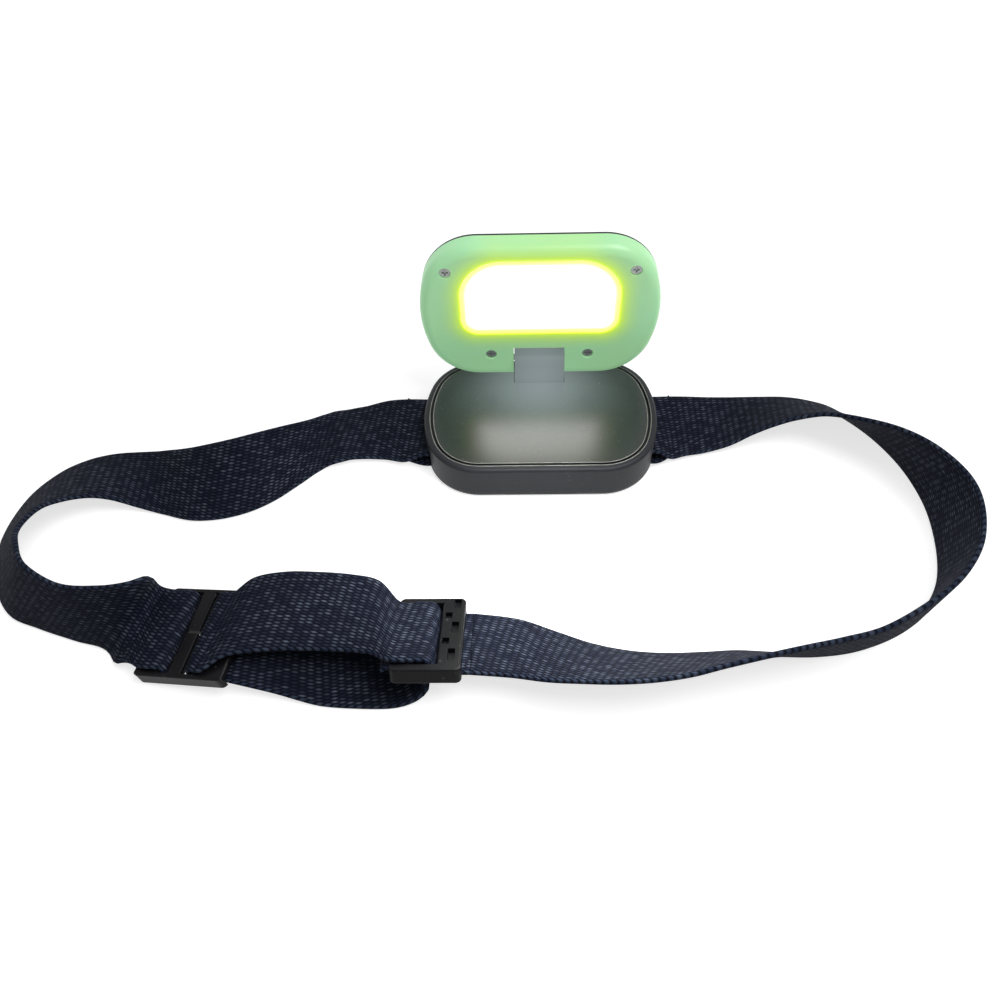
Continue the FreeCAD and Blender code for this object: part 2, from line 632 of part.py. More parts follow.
def edge_pair(first, second):
    """One cross line of the webbing: its middle and its direction, from two points of its edges."""
    start = vec(*first)
    across = (vec(*second) - start).normalize()
    return start + across * (WEB_WIDTH / 2), across


def bend(centre, radius, start, end):
    """Points of an arc in a plane, from one angle to another in degrees."""
    steps = max(1, round(abs(end - start) / BEND_STEP))
    points = []
    for index in range(steps + 1):
        angle = math.radians(start + (end - start) * index / steps)
        points.append((centre[0] + radius * math.cos(angle), centre[1] + radius * math.sin(angle)))
    return points


def lamp_wrap(side):
    """Cross lines round a strap pin, from the sewn tail under the strap to the strap itself."""
    far_y = STRAP_CENTRE_Y + WEB_WIDTH / 2
    near_y = STRAP_CENTRE_Y - WEB_WIDTH / 2
    low = STRAP_PIN_Z - WRAP_RADIUS
    high = STRAP_PIN_Z + WRAP_RADIUS
    inside = CASE_LENGTH / 2 - STRAP_PIN_X + WEB_GAP
    flat = WEB_THICKNESS / 2
    tail = [(inside + STRAP_TAIL, flat), (inside + STRAP_TAIL / 2, flat), (inside + 1.0, low), (3.0, low)]
    leave = [(3.0, high), (inside, high - 0.3)]
    places = tail + bend((0.0, STRAP_PIN_Z), WRAP_RADIUS, -90, -270) + leave
    pairs = []
    for out, z in places:
        x = side * (STRAP_PIN_X + out)
        pairs.append(edge_pair((x, far_y, z), (x, near_y, z)))
    return pairs


def buckle_lines(placement, places, first_side):
    """Cross lines in a buckle's own axes; first_side is the side where the first edge lies."""
    pairs = []
    for u, n in places:
        first = placement.multVec(vec(u, first_side * WEB_WIDTH / 2, n))
        second = placement.multVec(vec(u, -first_side * WEB_WIDTH / 2, n))
        pairs.append(edge_pair(first, second))
    return pairs


def over_edge(edge, side, top):
    """Centre of the bend over a bar's upper edge."""
    return (edge - side * BAR_EDGE_RADIUS, top - BAR_EDGE_RADIUS)


def under_edge(edge, side, bottom):
    """Centre of the bend under a bar's lower edge."""
    return (edge - side * BAR_EDGE_RADIUS, bottom + BAR_EDGE_RADIUS)


def connector_wrap(edge, side, reach_over, reach_under):
    """From above a connector bar, down the slot beside it and back beneath it."""
    radius = BAR_EDGE_RADIUS + WEB_REACH
    over = over_edge(edge, side, 0.0)
    under = under_edge(edge, side, -CONNECTOR_BAR_THICKNESS)
    turn = 90 - 90 * side
    down = bend(over, radius, 90, turn)
    back = bend(under, radius, turn, turn - 90 * side)
    start = [(over[0] - side * reach_over, over[1] + radius)]
    end = [(under[0] - side * reach_under, under[1] - radius)]
    return start + down + back + end


def adjuster_rise():
    """Under the adjuster's right bar, up its slot and over the middle bar."""
    radius = BAR_EDGE_RADIUS + WEB_REACH
    under = under_edge(ADJUSTER_RIGHT_BAR[0], -1, -ADJUSTER_RIGHT_BAR_THICKNESS)
    over = over_edge(ADJUSTER_MID_BAR[1], 1, -ADJUSTER_MID_BAR_TOP)
    rise = bend(under, radius, -90, -150) + bend(over, radius, 30, 90)
    start = [(ADJUSTER_RIGHT_BAR[1] + 2.0, under[1] - radius)]
    leave = [(ADJUSTER_MID_BAR[0], over[1] + radius), (ADJUSTER_LEFT_BAR[0], over[1] + radius + 0.2)]
    return start + rise + leave


def adjuster_loop():
    """Up behind the adjuster's left bar and back over it, to the sewn tail."""
    radius = BAR_EDGE_RADIUS + WEB_REACH
    over = over_edge(ADJUSTER_LEFT_BAR[1], 1, -ADJUSTER_LEFT_BAR_TOP)
    loop = bend(over, radius, 0, 90)
    edge = ADJUSTER_LEFT_BAR[0]
    tail = [(edge + 0.6, over[1] + radius), (edge - 2.4, over[1] + radius - 1.3)]
    return loop + tail


# The strap's left run, from the case to the connector: points on its far edge and near edge.
LEFT_RUN = [
    ((-44, 12.7, 6.6), (-43.5, -12.2, 3.2)), ((-51, 14.8, 3.8), (-50, -10, 2.4)),
    ((-58.5, 15.2, 1.0), (-58, -9.8, 2.4)), ((-64.5, 13.9, 0.8), (-63.5, -11, 2.6)),
    ((-71, 12.2, 0.8), (-70, -12.8, 0.9)), ((-77.5, 5.6, 4.4), (-76.5, -19, 0.8)),
    ((-84, -2, 9.6), (-83, -25.4, 0.8)), ((-90.4, -7.9, 13), (-89.8, -29.6, 0.8)),
    ((-97.6, -10.3, 12.8), (-96.8, -32, 0.8)), ((-105.5, -10.2, 10.4), (-103.8, -33, 0.8)),
    ((-113, -8.9, 7.3), (-109.8, -32.6, 0.8)), ((-123.4, -6, 2.8), (-118.2, -30.3, 0.8)),
    ((-133.9, -4.8, 0.8), (-127, -28.7, 3)), ((-140.6, -5.6, 0.8), (-132.6, -28.6, 6)),
    ((-147, -7.5, 0.4), (-138, -29.5, 8)), ((-155, -13, 0), (-144, -33, 10.5)),
    ((-162, -24, 0), (-148, -38.5, 14)), ((-164.5, -40, 0), (-149, -48, 17.5)),
    ((-160.5, -55.5, 0), (-146, -55.5, 20)), ((-153, -66.2, 0), (-140.5, -63.3, 21.4)),
    ((-142.9, -70.7, 0), (-129.8, -69.6, 21.2)), ((-131.9, -74.5, 0), (-119.8, -70.8, 20.8)),
    ((-121.4, -78.4, 0.8), (-112.2, -67, 16)), ((-114.6, -83.6, 4.2), (-108.6, -62.6, 9.4)),
]

# The right run, from the case round to the adjuster: far edge first, then the near or raised edge.
RIGHT_RUN = [
    ((43.5, 12.8, 6.4), (41.5, -12, 3.2)), ((50, 14.8, 4.2), (46.5, -9.8, 2.4)),
    ((57, 16.4, 2.2), (52.5, -8.2, 1.8)), ((66, 17.6, 0.8), (60.5, -6.6, 3.4)),
    ((75, 17.6, 0.8), (67.5, -5.3, 7.2)), ((83, 17.2, 0.8), (74.3, -4.3, 10.2)),
    ((90, 15.7, 0.6), (81, -4.2, 13)), ((97, 12.6, 0.2), (88.5, -5.8, 16)), ((105, 4, 0), (98, -11, 19)),
    ((111, -6, 0), (107, -18, 22)), ((115, -17, 0), (114, -26, 23)), ((117, -30, 0), (119, -37, 24)),
    ((116, -44, 0), (119, -48, 24.5)), ((113, -56, 0), (115, -60, 24.5)),
    ((108.5, -64, 0), (107, -70.5, 24)), ((102.5, -70, 0), (97, -78, 23)),
    ((94, -75.2, 0), (84.5, -84.4, 21)), ((83.5, -79, 0), (73, -87.6, 20.8)),
    ((73, -80.4, 0), (64, -89.8, 21.2)), ((62.5, -80.2, 0.2), (55, -91.8, 21)),
    ((52, -79.8, 0.8), (43.5, -94, 19.4)), ((42.9, -80.2, 0.8), (35.1, -96, 18.6)),
    ((33, -80.4, 0.8), (26.3, -97.2, 18.1)), ((23.2, -79.6, 0.8), (17.5, -97.4, 17.4)),
    ((13, -77.2, 0.8), (8.8, -96.6, 16)), ((3, -73.2, 0.8), (0, -94.8, 13.2)),
    ((-7.4, -69.4, 1.2), (-9, -92.4, 11)),
]

# The doubled part: the upper layer from the adjuster to the connector, then the lower one back.
UPPER_LAYER = [
    ((-46, -61.8, 9.8), (-45.6, -86.2, 12.9)), ((-54, -60.2, 10.6), (-53, -84.9, 11.8)),
    ((-63, -59.6, 11), (-62.4, -84.4, 11.4)), ((-72, -59.7, 11.4), (-72.6, -84.6, 11.5)),
    ((-80.5, -61.4, 11.2), (-83.6, -86.2, 11.5)),
]
LOWER_LAYER = [
    ((-68.5, -68, 3.2), (-71.6, -91.6, 3.4)), ((-59.5, -70.2, 1), (-59.8, -94.6, 1)),
    ((-50, -71, 0.8), (-50, -96, 0.8)), ((-42, -71, 0.8), (-40.6, -96, 0.8)),
    ((-37.6, -69.8, 1.1), (-33.8, -94.4, 2.6)), ((-36.2, -69, 2), (-31, -92.4, 7.2)),
]


def run_pairs(points):
    return [edge_pair(first, second) for first, second in points]


def cross_sections(pairs):
    """Rectangles across the webbing, each lifted where it would pass through the table."""
    middles = [middle for middle, across in pairs]
    wires = []
    for index, (middle, across) in enumerate(pairs):
        before = middles[max(index - 1, 0)]
        after = middles[min(index + 1, len(middles) - 1)]
        normal = across.cross(after - before).normalize() * (WEB_THICKNESS / 2)
        half = across * (WEB_WIDTH / 2)
        corners = [
            middle + half + normal, middle - half + normal,
            middle - half - normal, middle + half - normal,
        ]
        lift = vec(0, 0, max(0.0, -min(corner.z for corner in corners)))
        wires.append(Part.makePolygon([corner + lift for corner in corners + corners[:1]]))
    return wires


def build_left_webbing():
    end = connector_wrap(CONNECTOR_BARS[0][1], 1, 5.0, 8.0)
    pairs = lamp_wrap(-1) + run_pairs(LEFT_RUN) + buckle_lines(connector_place(), end, -1)
    return {"strap_left": Part.makeLoft(cross_sections(pairs), True, True)}


def build_right_webbing():
    """One webbing in three spans that meet where buckles hide the joints."""
    rise = buckle_lines(adjuster_place(), adjuster_rise(), 1)
    turned = buckle_lines(connector_place(), connector_wrap(CONNECTOR_BARS[2][0], -1, 3.0, 8.0), 1)
    loop = buckle_lines(adjuster_place(), adjuster_loop(), 1)
    first = lamp_wrap(1) + run_pairs(RIGHT_RUN)
    second = rise + run_pairs(UPPER_LAYER) + turned
    sections = cross_sections(first + second + run_pairs(LOWER_LAYER) + loop)
    cuts = [0, len(first), len(first) + len(second) - 1, len(sections) - 1]
    names = ["strap_right", "strap_upper", "strap_lower"]
    spans = {}
    for name, start, end in zip(names, cuts[:-1], cuts[1:]):
        spans[name] = Part.makeLoft(sections[start:end + 1], True, True)
    return spans


def main():
    os.makedirs("parts", exist_ok=True)
    pieces = {
        "base_shell": build_base_shell(),
        "face_plate": build_face_plate(),
        "rear_cover": build_rear_cover(),
        "contact_springs": build_springs(),
        "contact_plate_left": build_contacts(-1),
        "contact_plate_right": build_contacts(1),
        "strap_pins": build_strap_pins(),
        "hinge_pin": build_hinge_pin(),
        "light_bezel": opened(build_bezel()),
        "light_lens": opened(build_lens()),
        "light_phosphor": opened(build_phosphor()),
        "light_board": opened(inner_sheet(LIGHT_BOARD_Z, LIGHT_BOARD_THICKNESS, BOARD_CLEARANCE)),
        "heat_spreader": opened(inner_sheet(SPREADER_Z, SPREADER_THICKNESS, 3 * BOARD_CLEARANCE)),
        "driver_board": opened(build_driver_board()),
        "switch_body": opened(build_switch()),
        "push_button": opened(build_button()),
        "panel_rear": opened(build_panel_rear()),
        "panel_screws": opened(build_panel_screws()),
        "connector_buckle": build_connector(),
        "adjuster_buckle": build_adjuster(),
    }
    pieces.update(build_left_webbing())
    pieces.update(build_right_webbing())
    for index in range(CELL_COUNT):
        pieces["battery_cell_%d" % (index + 1)] = build_cell(index)
    for name, shape in pieces.items():
        print(name, "solids", len(shape.Solids), "valid", shape.isValid(), "mm3", round(shape.Volume, 1))
        shape.exportStep("parts/%s.step" % name)


main()
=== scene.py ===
import math

import bpy
from mathutils import Matrix, Vector


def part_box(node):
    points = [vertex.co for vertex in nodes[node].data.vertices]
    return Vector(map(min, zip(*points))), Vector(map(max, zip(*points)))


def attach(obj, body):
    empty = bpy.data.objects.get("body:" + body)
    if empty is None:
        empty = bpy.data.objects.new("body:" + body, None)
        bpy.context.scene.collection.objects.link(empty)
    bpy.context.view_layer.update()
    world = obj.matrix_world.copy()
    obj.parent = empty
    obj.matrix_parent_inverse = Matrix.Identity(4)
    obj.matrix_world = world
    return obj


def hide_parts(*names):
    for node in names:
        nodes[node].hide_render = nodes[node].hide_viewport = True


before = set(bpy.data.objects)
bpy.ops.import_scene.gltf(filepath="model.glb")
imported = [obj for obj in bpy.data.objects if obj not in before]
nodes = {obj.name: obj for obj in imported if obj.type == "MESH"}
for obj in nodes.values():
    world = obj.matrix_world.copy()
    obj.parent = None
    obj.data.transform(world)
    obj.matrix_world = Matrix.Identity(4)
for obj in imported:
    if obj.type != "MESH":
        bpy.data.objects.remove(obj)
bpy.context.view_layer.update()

# Sizes in millimetres, in the frame's own axes
MM = 0.001
WEB_WIDTH = 25.0
WEB_THICKNESS = 1.6
WEB_GAP = 0.3
WEB_STEPS = 7
WEB_COLUMNS = 14
WEB_FLOOR = 0.15
WEB_FACE_EDGE = 0.9
WEB_FACE_CROWN = 0.1
LINE_SPACING = 1.2
LONG_GAP = 2.5
LAMP_PIN_X = 30.0
LAMP_PIN_Z = 5.0
LAMP_PIN_RADIUS = 1.25
STRAP_CENTRE_Y = -0.5
WRAP_START = 3.0
WRAP_LEAVE_DROP = 0.3
TAIL_SKEW = 2.4
CASE_HALF_LENGTH = 37.0
CASE_HALF_WIDTH = 24.6
CASE_CORNER_RADIUS = 17.0
CASE_SIDE_RADIUS = 42.0
FACE_Z = 13.0
RIM_INSET = 2.1
PLATE_INSET = 2.9
EDGE_BEAD_RADIUS = 0.16
EDGE_BEAD_SINK = 0.6
LENS_INSET = 1.0
BEND_STEP = 30.0
BAR_EDGE_RADIUS = 0.8
CONNECTOR_ORIGIN = (-95.0, -76.3, 7.3)
CONNECTOR_TURN = -10.0
CONNECTOR_TILT = -11.0
CONNECTOR_LEFT_EDGE = -6.0
CONNECTOR_RIGHT_EDGE = 3.8
CONNECTOR_BAR_THICKNESS = 2.4
CONNECTOR_LEFT_REACH = (5.0, 8.0)
CONNECTOR_RIGHT_REACH = (3.0, 8.0)
ADJUSTER_ORIGIN = (-25.0, -78.7, 10.45)
ADJUSTER_TILT = -21.0
ADJUSTER_RIGHT_BAR = (-3.2, 3.2)
ADJUSTER_MID_BAR = (-9.6, -5.8)
ADJUSTER_LEFT_BAR = (-15.2, -12.2)
ADJUSTER_RIGHT_BAR_THICKNESS = 2.6
ADJUSTER_MID_BAR_TOP = 0.6
ADJUSTER_LEFT_BAR_TOP = 2.6
ADJUSTER_LEAD = 2.0
ADJUSTER_LEAVE_RISE = 0.2
ADJUSTER_UNDER_TURN = (-90, -150)
ADJUSTER_OVER_TURN = (30, 90)
ADJUSTER_TAIL = ((0.6, 0.0), (-2.4, -1.3))

WEB_REACH = WEB_GAP + WEB_THICKNESS / 2
WRAP_RADIUS = LAMP_PIN_RADIUS + WEB_REACH
BAR_WRAP = BAR_EDGE_RADIUS + WEB_REACH

# Camera, matched to the photograph
CAMERA_PLACE = (-6.17, -199.0, 215.2)
CAMERA_AZIMUTH = 2.21
CAMERA_ELEVATION = 51.09
CAMERA_ROLL = -2.24
CAMERA_LENS = 31.92
CAMERA_SENSOR = 36.0

# Studio, in metres and watts
FLOOR_HALF_SIZE = 6.0
FLOOR_GREY = 0.55
FLOOR_GLOW = (("From Min", 0.25), ("From Max", 0.7), ("To Min", 0.72), ("To Max", 1.0))
WORLD_LIGHT = 0.24
WORLD_SEEN = 1.0
KEY_PLACE = (0.32, -0.12, 0.75)
KEY_TARGET = (0.0, -0.03, 0.0)
KEY_SIZE = (0.5, 0.4)
KEY_POWER = 5.0
STRAP_LIGHT_PLACE = (0.0, -0.045, 0.055)
STRAP_LIGHT_TARGET = (0.0, -0.09, 0.010)
STRAP_LIGHT_SIZE = (0.05, 0.02)
STRAP_LIGHT_POWER = 0.10

# The strap's left run, from the case to the connector: points on its far edge and near edge.
LEFT_RUN = [
    ((-44, 12.7, 6.6), (-43.5, -12.2, 3.2)), ((-51, 14.8, 3.8), (-50, -10, 2.4)),
    ((-58.5, 15.2, 1.0), (-58, -9.8, 2.4)), ((-64.5, 13.9, 0.8), (-63.5, -11, 2.6)),
    ((-71, 12.2, 0.8), (-70, -12.8, 0.9)), ((-77.5, 5.6, 4.4), (-76.5, -19, 0.8)),
    ((-84, -2, 9.6), (-83, -25.4, 0.8)), ((-90.4, -7.9, 13), (-89.8, -29.6, 0.8)),
    ((-97.6, -10.3, 12.8), (-96.8, -32, 0.8)), ((-105.5, -10.2, 10.4), (-103.8, -33, 0.8)),
    ((-113, -8.9, 7.3), (-109.8, -32.6, 0.8)), ((-123.4, -6, 2.8), (-118.2, -30.3, 0.8)),
    ((-133.9, -4.8, 0.8), (-127, -28.7, 3)), ((-140.6, -5.6, 0.8), (-132.6, -28.6, 6)),
    ((-147, -7.5, 0.4), (-138, -29.5, 8)), ((-155, -13, 0), (-144, -33, 10.5)),
    ((-162, -24, 0), (-148, -38.5, 14)), ((-164.5, -40, 0), (-149, -48, 17.5)),
    ((-160.5, -55.5, 0), (-146, -55.5, 20)), ((-153, -66.2, 0), (-140.5, -63.3, 21.4)),
    ((-142.9, -70.7, 0), (-129.8, -69.6, 21.2)), ((-131.9, -74.5, 0), (-119.8, -70.8, 20.8)),
    ((-121.4, -78.2, 0.7), (-111, -69.4, 19)), ((-113.4, -84.2, 4.6), (-110.2, -59.6, 5.4)),
]

# The right run, from the case round to the adjuster: far edge first, then the near or raised edge.
RIGHT_RUN = [
    ((43.5, 12.8, 6.4), (41.5, -12, 3.2)), ((50, 14.8, 4.2), (46.5, -9.8, 2.4)),
    ((57, 16.4, 2.2), (52.5, -8.2, 1.8)), ((66, 17.6, 0.8), (60.5, -6.6, 3.4)),
    ((75, 17.6, 0.8), (67.5, -5.3, 7.2)), ((83, 17.2, 0.8), (74.3, -4.3, 10.2)),
    ((90, 15.7, 0.6), (81, -4.2, 13)), ((97, 12.6, 0.2), (88.5, -5.8, 16)), ((105, 4, 0), (98, -11, 19)),
    ((111, -6, 0), (107, -18, 22)), ((115, -17, 0), (114, -26, 23)), ((117, -30, 0), (119, -37, 24)),
    ((116, -44, 0), (119, -48, 24.5)), ((113, -56, 0), (115, -60, 24.5)),
    ((108.5, -64, 0), (107, -70.5, 24)), ((102.5, -70, 0), (97, -78, 23)),
    ((94, -75.2, 0), (84.5, -84.4, 21)), ((83.5, -79, 0), (73, -87.6, 20.8)),
    ((73, -80.4, 0), (64, -89.8, 21.2)), ((62.5, -80.2, 0.2), (55, -91.8, 21)),
    ((52, -79.8, 0.8), (43.5, -94, 19.4)), ((42.9, -80.2, 0.8), (35.1, -96, 18.6)),
    ((33, -80.4, 0.8), (26.3, -97.2, 18.1)), ((23.2, -79.6, 0.8), (17.5, -97.4, 17.4)),
    ((13, -77.2, 0.8), (8.8, -96.6, 16)), ((3, -73.2, 0.8), (0, -94.8, 13.2)),
    ((-7.4, -69.4, 1.2), (-9, -92.4, 11)),
]

# The doubled part: the upper layer from the adjuster to the connector, then the lower one back.
UPPER_LAYER = [
    ((-46, -61.8, 9.8), (-45.6, -86.2, 12.9)), ((-54, -60.2, 10.6), (-53, -84.9, 11.8)),
    ((-63, -59.6, 11), (-62.4, -84.4, 11.4)), ((-72, -59.7, 11.4), (-72.6, -84.6, 11.5)),
    ((-80.5, -61.4, 11.2), (-83.6, -86.2, 11.5)),
]
LOWER_LAYER = [
    ((-68.5, -68, 3.2), (-71.6, -91.6, 3.4)), ((-59.5, -70.2, 1), (-59.8, -94.6, 1)),
    ((-50, -71, 0.8), (-50, -96, 0.8)), ((-42, -71, 0.8), (-40.6, -96, 0.8)),
    ((-37.6, -69.8, 1.1), (-33.8, -94.4, 2.6)), ((-36.2, -69, 2), (-31, -92.4, 7.2)),
]


# Cross lines of the webbing

def edge_pair(first, second):
    """One cross line: its middle and its direction, from two points of the webbing's edges."""
    start = Vector(first)
    across = (Vector(second) - start).normalized()
    return start + across * (WEB_WIDTH / 2), across


def bend(centre, radius, start, end):
    """Points round a centre, from one angle in degrees to another."""
    steps = max(1, round(abs(end - start) / BEND_STEP))
    points = []
    for index in range(steps + 1):
        angle = math.radians(start + (end - start) * index / steps)
        points.append((centre[0] + radius * math.cos(angle), centre[1] + radius * math.sin(angle)))
    return points


def sewn_tail(cross_line):
    """The tail's end, sewn flat against the strap's underside."""
    shift = Vector((0, TAIL_SKEW, -WEB_THICKNESS - WEB_GAP / 2))
    return edge_pair(Vector(cross_line[0]) + shift, Vector(cross_line[1]) + shift)


def lamp_wrap(side, run):
    """Cross lines round a strap pin, from the sewn tail under the strap to the strap itself."""
    far_y = STRAP_CENTRE_Y + WEB_WIDTH / 2
    near_y = STRAP_CENTRE_Y - WEB_WIDTH / 2
    low = LAMP_PIN_Z - WRAP_RADIUS
    high = LAMP_PIN_Z + WRAP_RADIUS
    inside = CASE_HALF_LENGTH - LAMP_PIN_X + WEB_GAP
    tail = [(inside, low), (WRAP_START, low)]
    leave = [(WRAP_START, high), (inside, high - WRAP_LEAVE_DROP)]
    places = tail + bend((0.0, LAMP_PIN_Z), WRAP_RADIUS, -90, -270) + leave
    pairs = [sewn_tail(run[0])]
    for out, z in places:
        x = side * (LAMP_PIN_X + out)
        pairs.append(edge_pair((x, far_y, z), (x, near_y, z)))
    return pairs


def connector_matrix():
    """The connector's own axes, placed in the frame: along its webbing, across it and up."""
    turn = Matrix.Rotation(math.radians(CONNECTOR_TURN), 4, "Z")
    tilt = Matrix.Rotation(math.radians(CONNECTOR_TILT), 4, "Y")
    return Matrix.Translation(CONNECTOR_ORIGIN) @ turn @ tilt


def adjuster_matrix():
    """The adjuster's own axes, placed in the same way."""
    tilt = Matrix.Rotation(math.radians(ADJUSTER_TILT), 4, "X")
    return Matrix.Translation(ADJUSTER_ORIGIN) @ tilt


def buckle_lines(matrix, places, first_side):
    """Cross lines in a buckle's own axes; first_side is the side where the first edge lies."""
    half = first_side * WEB_WIDTH / 2
    return [edge_pair(matrix @ Vector((u, half, n)), matrix @ Vector((u, -half, n))) for u, n in places]


def connector_wrap(edge, side, reach):
    """From above a connector bar, down the slot beside it and back beneath it."""
    reach_over, reach_under = reach
    centre_u = edge - side * BAR_EDGE_RADIUS
    over = (centre_u, -BAR_EDGE_RADIUS)
    under = (centre_u, BAR_EDGE_RADIUS - CONNECTOR_BAR_THICKNESS)
    turn = 90 - 90 * side
    start = [(centre_u - side * reach_over, over[1] + BAR_WRAP)]
    end = [(centre_u - side * reach_under, under[1] - BAR_WRAP)]
    down = bend(over, BAR_WRAP, 90, turn)
    back = bend(under, BAR_WRAP, turn, turn - 90 * side)
    return start + down + back + end


def adjuster_rise():
    """Under the adjuster's right bar, up its slot and over the middle bar."""
    under = (ADJUSTER_RIGHT_BAR[0] + BAR_EDGE_RADIUS, BAR_EDGE_RADIUS - ADJUSTER_RIGHT_BAR_THICKNESS)
    over = (ADJUSTER_MID_BAR[1] - BAR_EDGE_RADIUS, -ADJUSTER_MID_BAR_TOP - BAR_EDGE_RADIUS)
    rise = bend(under, BAR_WRAP, *ADJUSTER_UNDER_TURN) + bend(over, BAR_WRAP, *ADJUSTER_OVER_TURN)
    top = over[1] + BAR_WRAP
    start = [(ADJUSTER_RIGHT_BAR[1] + ADJUSTER_LEAD, under[1] - BAR_WRAP)]
    leave = [(ADJUSTER_MID_BAR[0], top), (ADJUSTER_LEFT_BAR[0], top + ADJUSTER_LEAVE_RISE)]
    return start + rise + leave


def adjuster_loop():
    """Up behind the adjuster's left bar and back over it, to the sewn tail."""
    over = (ADJUSTER_LEFT_BAR[1] - BAR_EDGE_RADIUS, -ADJUSTER_LEFT_BAR_TOP - BAR_EDGE_RADIUS)
    edge = ADJUSTER_LEFT_BAR[0]
    top = over[1] + BAR_WRAP
    tail = [(edge + out, top + rise) for out, rise in ADJUSTER_TAIL]
    return bend(over, BAR_WRAP, 0, 90) + tail


# Webbing meshes

def between(before, start, end, after, t):
    """A point of a smooth curve through start and end."""
    slope = end - before
    curve = 2 * before - 5 * start + 4 * end - after
    twist = 3 * start - before - 3 * end + after
    return 0.5 * (2 * start + slope * t + curve * t * t + twist * t * t * t)


def smooth_pairs(pairs):
    """More cross lines on smooth curves through the given ones, eased where two lie close together."""
    middles = [p[0] for p in pairs]
    acrosses = [p[1] for p in pairs]
    last = len(pairs) - 1
    made = []
    for index in range(last):
        gap = (middles[index + 1] - middles[index]).length
        steps = max(1, min(WEB_STEPS, round(gap / LINE_SPACING)))
        keys = [max(index - 1, 0), index, index + 1, min(index + 2, last)]
        before, after = middles[keys[0]], middles[keys[3]]
        start, end = middles[index], middles[index + 1]
        if (start - before).length > LONG_GAP * gap:
            before = start - (start - before).normalized() * gap
        if (after - end).length > LONG_GAP * gap:
            after = end + (after - end).normalized() * gap
        for step in range(steps):
            t = step / steps
            middle = between(before, start, end, after, t)
            across = between(*[acrosses[k] for k in keys], t)
            made.append((middle, across.normalized()))
    return made + [pairs[-1]]


def section_profile():
    """Outline of the webbing's cross-section as (across, through): two woven faces and round edges."""
    half = WEB_WIDTH / 2
    thick = WEB_THICKNESS / 2
    flat = half - thick
    top = []
    for column in range(WEB_COLUMNS + 1):
        crown = WEB_FACE_EDGE + WEB_FACE_CROWN * math.sin(math.pi * column / WEB_COLUMNS)
        top.append((-flat + 2 * flat * column / WEB_COLUMNS, thick * crown))
    right = []
    for angle in (math.pi / 3, 2 * math.pi / 3):
        right.append((flat + thick * math.sin(angle), thick * WEB_FACE_EDGE * math.cos(angle)))
    bottom = [(a, -n) for a, n in reversed(top)]
    left = [(-a, -n) for a, n in right]
    return top + right + bottom + left


def webbing(name, pairs):
    """A closed strip of webbing along cross lines, with UVs in metres across and along."""
    lines = smooth_pairs(pairs)
    profile = section_profile()
    count = len(profile)
    verts, coords = [], []
    length = 0.0
    for index, (middle, across) in enumerate(lines):
        before = lines[max(index - 1, 0)][0]
        after = lines[min(index + 1, len(lines) - 1)][0]
        if index:
            length += (middle - before).length * MM
        normal = across.cross(after - before).normalized()
        ring = [middle + across * a + normal * n for a, n in profile]
        lift = max(0.0, WEB_FLOOR - min(p.z for p in ring))
        verts += [(p + Vector((0, 0, lift))) * MM for p in ring]
        coords += [(a * MM, length) for a, n in profile]
    faces = []
    for row in range(len(lines) - 1):
        for column in range(count):
            after = (column + 1) % count
            base, top = row * count, (row + 1) * count
            faces.append((base + column, base + after, top + after, top + column))
    faces.append(tuple(range(count - 1, -1, -1)))
    faces.append(tuple((len(lines) - 1) * count + i for i in range(count)))
    mesh = bpy.data.meshes.new(name)
    mesh.from_pydata(verts, [], faces)
    layer = mesh.uv_layers.new(name="webbing")
    for loop in mesh.loops:
        layer.data[loop.index].uv = coords[loop.vertex_index]
    mesh.polygons.foreach_set("use_smooth", [True] * len(mesh.polygons))
    mesh.validate()
    mesh.update()
    piece = bpy.data.objects.new(name, mesh)
    bpy.context.scene.collection.objects.link(piece)
    return piece, length


# Materials

